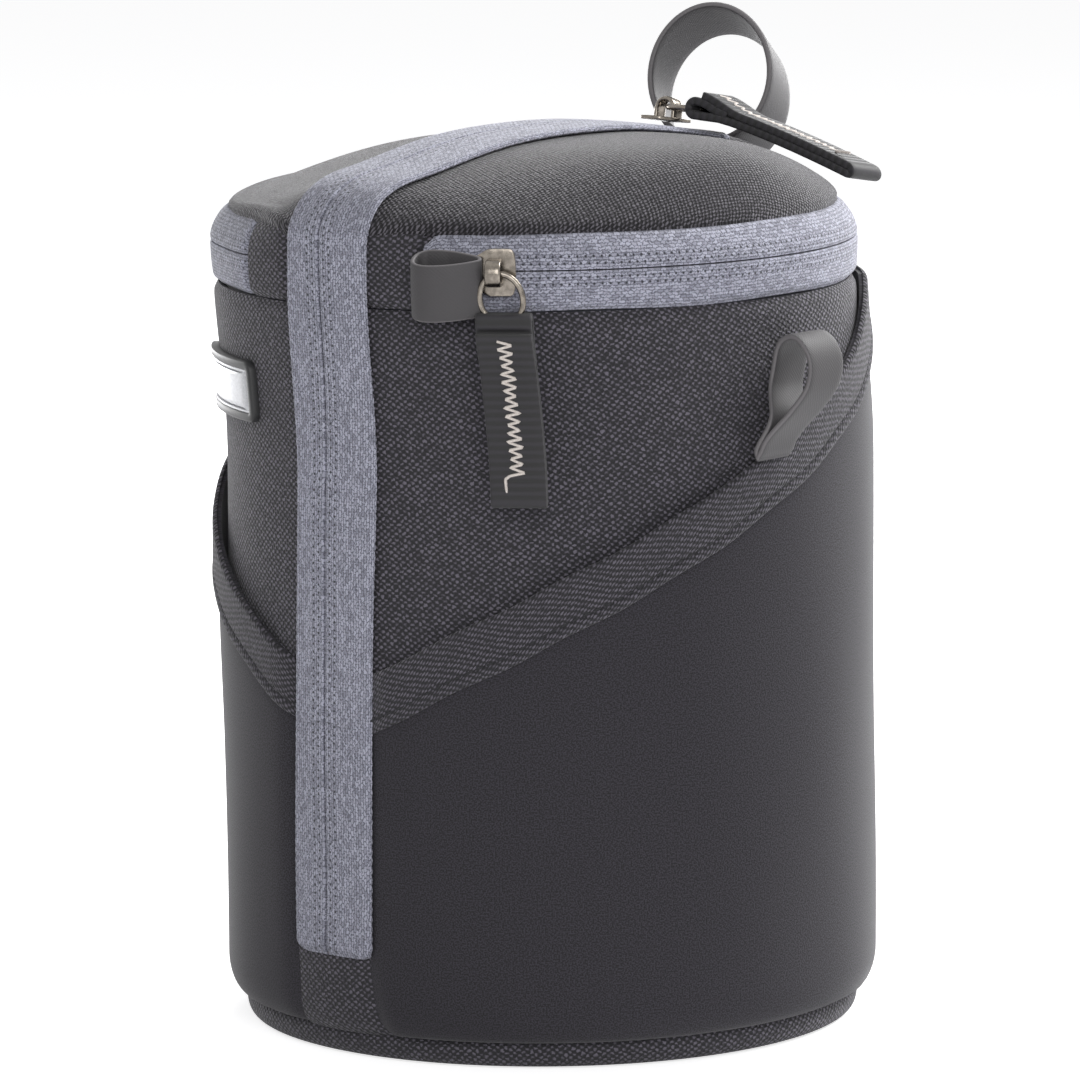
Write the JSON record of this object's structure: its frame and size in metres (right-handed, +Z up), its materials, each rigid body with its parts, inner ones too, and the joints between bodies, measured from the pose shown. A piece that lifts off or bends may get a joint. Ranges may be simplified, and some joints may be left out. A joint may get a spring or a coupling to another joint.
{
  "type": "lens pouch",
  "caption": "Padded round lens pouch with a zipped hinged lid, a vertical front zip, a wrapped stretch pocket, a carry loop, side loops and a belt loop.",
  "frame": {"origin": "centre of the flat base, on the surface that the pouch stands on", "axes": "+Z up along the pouch's axis, -Y towards the front zip, +X to the right of the front zip"},
  "size_m": [0.1494, 0.1409, 0.1937],
  "materials": {
    "woven_fabric": "coarse charcoal woven nylon",
    "lid_twill": "fine grey twill",
    "stretch_fabric": "matte fine-knit stretch fabric",
    "binding_tape": "woven binding tape, stitched",
    "zip_tape": "slate woven zip tape",
    "zip_coil": "dark nylon coil",
    "padding_foam": "closed-cell foam sheet",
    "soft_lining": "brushed knit lining",
    "smooth_strap": "smooth grey coated strap",
    "black_webbing": "black ribbed webbing",
    "nickel": "warm nickel plate",
    "badge_dark": "dark moulded frame",
    "badge_silver": "bare satin plate"
  },
  "bodies": {
    "pouch_body": {"base_panel": "woven_fabric", "base_foam": "padding_foam", "base_lining": "soft_lining", "wall_outer_fabric": "woven_fabric", "wall_foam": "padding_foam", "wall_lining": "soft_lining", "stretch_pocket": "stretch_fabric", "pocket_binding_right": "binding_tape", "pocket_binding_left": "binding_tape", "lid_zip_tape_lower": "zip_tape", "lid_zip_coil_lower": "zip_coil", "hinge_gusset_lower_right": "woven_fabric", "hinge_gusset_lower_left": "woven_fabric", "lid_zip_stop_right": "nickel", "lid_zip_stop_left": "nickel", "front_zip_tape_right": "zip_tape", "front_zip_tape_left": "zip_tape", "front_zip_coil_right": "zip_coil", "front_zip_coil_left": "zip_coil", "front_zip_bottom_stop": "nickel", "front_zip_end_patch": "woven_fabric", "badge_frame": "badge_dark", "badge_plate": "badge_silver", "zip_garage_loop": "smooth_strap", "belt_loop": "black_webbing"},
    "lid": {"lid_zip_tape_upper": "zip_tape", "lid_zip_coil_upper": "zip_coil", "hinge_gusset_upper_right": "woven_fabric", "hinge_gusset_upper_left": "woven_fabric", "lid_top_fabric": "lid_twill", "lid_foam": "padding_foam", "lid_lining": "soft_lining", "lid_front_tape_right": "zip_tape", "lid_front_tape_left": "zip_tape", "lid_front_coil_right": "zip_coil", "lid_front_coil_left": "zip_coil", "front_zip_top_stop": "nickel", "carry_loop_foot": "smooth_strap"},
    "carry_loop": {"carry_loop": "smooth_strap"},
    "side_loop_right": {"side_loop_right": "smooth_strap"},
    "side_loop_left": {"side_loop_left": "smooth_strap"},
    "lid_zip_slider": {"lid_zip_slider": "nickel"},
    "lid_pull_ring": {"lid_pull_ring": "nickel"},
    "lid_pull_tab": {"lid_pull_tab": "black_webbing"},
    "front_zip_slider": {"front_zip_slider": "nickel"},
    "front_pull_ring": {"front_pull_ring": "nickel"},
    "front_pull_tab": {"front_pull_tab": "black_webbing"}
  },
  "joints": [
    {"name": "lid_hinge", "type": "hinge", "parent": "pouch_body", "child": "lid", "pos_m": [0, -0.0662, 0.1538], "axis": [1, 0, 0], "range_deg": [0, 120]},
    {"name": "lid_zip_travel", "type": "hinge", "parent": "pouch_body", "child": "lid_zip_slider", "pos_m": [0, 0, 0.1538], "axis": [0, 0, 1], "range_deg": [0, 293], "deforming": ["lid_pull_tab"]},
    {"name": "lid_ring_swing", "type": "hinge", "parent": "lid_zip_slider", "child": "lid_pull_ring", "pos_m": [0.03663, -0.05598, 0.1538], "axis": [-0.8368, -0.5476, 0], "range_deg": [0, 110]},
    {"name": "lid_tab_swing", "type": "hinge", "parent": "lid_pull_ring", "child": "lid_pull_tab", "pos_m": [0.03663, -0.05598, 0.1443], "axis": [-0.8368, -0.5476, 0], "range_deg": [0, 80]},
    {"name": "front_zip_travel", "type": "hinge", "parent": "lid", "child": "front_zip_slider", "pos_m": [0, -0.012, -0.1642], "axis": [1, 0, 0], "range_deg": [0, 14.5], "deforming": ["front_pull_tab"]},
    {"name": "front_ring_swing", "type": "hinge", "parent": "front_zip_slider", "child": "front_pull_ring", "pos_m": [0, 0.04254, 0.17484], "axis": [0, -0.9873, 0.1588], "range_deg": [0, 90]},
    {"name": "front_tab_swing", "type": "hinge", "parent": "front_pull_ring", "child": "front_pull_tab", "pos_m": [0.0095, 0.04254, 0.17484], "axis": [0, -0.9873, 0.1588], "range_deg": [0, 60]},
    {"name": "carry_loop_flop", "type": "hinge", "parent": "lid", "child": "carry_loop", "pos_m": [0, 0.05541, 0.16643], "axis": [0, 0.8499, -0.527], "range_deg": [-35, 35]},
    {"name": "side_loop_right_flop", "type": "hinge", "parent": "pouch_body", "child": "side_loop_right", "pos_m": [0.0657, 0, 0.116], "axis": [0, 1, 0], "range_deg": [0, 85]},
    {"name": "side_loop_left_flop", "type": "hinge", "parent": "pouch_body", "child": "side_loop_left", "pos_m": [-0.0657, 0, 0.116], "axis": [0, -1, 0], "range_deg": [0, 85]}
  ]
}
